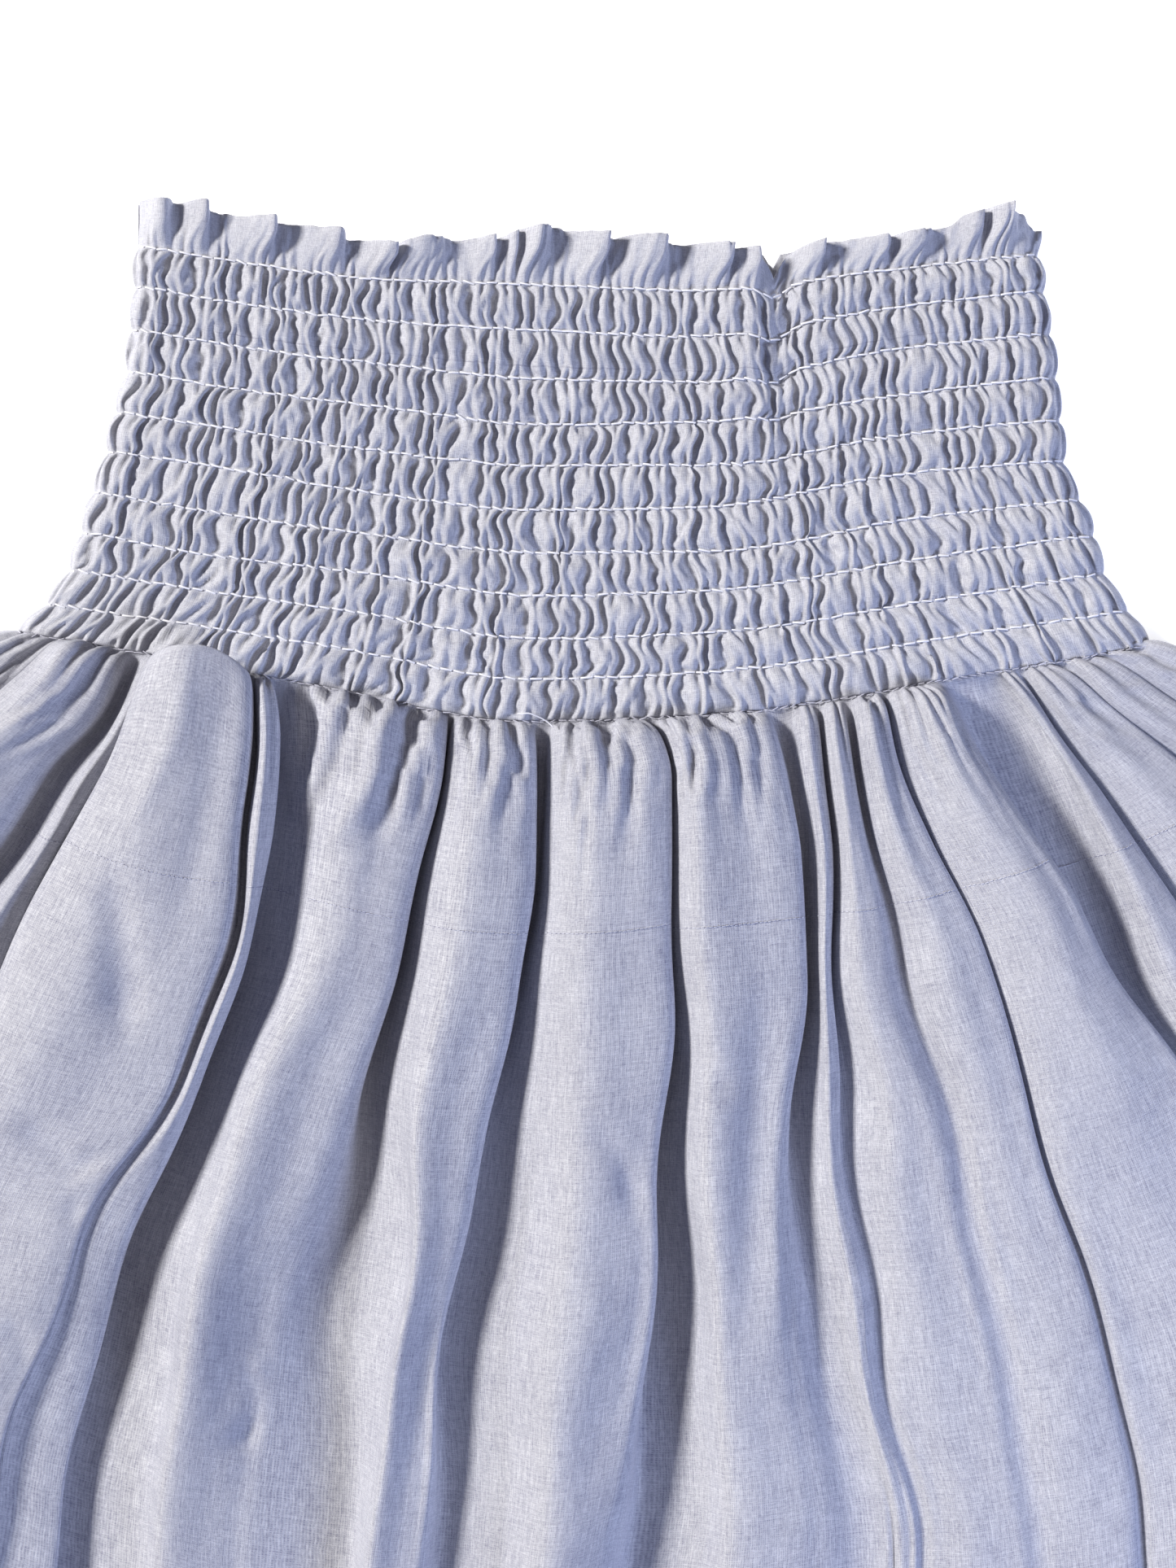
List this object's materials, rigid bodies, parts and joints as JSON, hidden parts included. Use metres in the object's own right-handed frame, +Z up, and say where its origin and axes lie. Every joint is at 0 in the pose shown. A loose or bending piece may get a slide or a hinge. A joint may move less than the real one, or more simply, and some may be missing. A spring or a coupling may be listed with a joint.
{
  "type": "maxi skirt",
  "caption": "Long cotton skirt laid flat, with a wide shirred elastic waist band topped by a ruffled header, and a full skirt gathered onto it in deep soft pleats.",
  "frame": {"origin": "middle of the bounding box on the surface the skirt lies on", "axes": "+Y from the hem to the waist, +X to the right of the garment's front as it is seen from above, +Z up out of the front"},
  "size_m": [0.8852, 0.9468, 0.0277],
  "materials": {
    "band_front": "matt plain-weave cotton, lilac blue",
    "band_back": "matt plain-weave cotton, lilac blue",
    "skirt_front": "matt plain-weave cotton, lilac blue",
    "skirt_back": "matt plain-weave cotton, lilac blue"
  },
  "bodies": {
    "root": {"band_front": "band_front", "band_back": "band_back", "skirt_front": "skirt_front", "skirt_back": "skirt_back"}
  },
  "joints": []
}
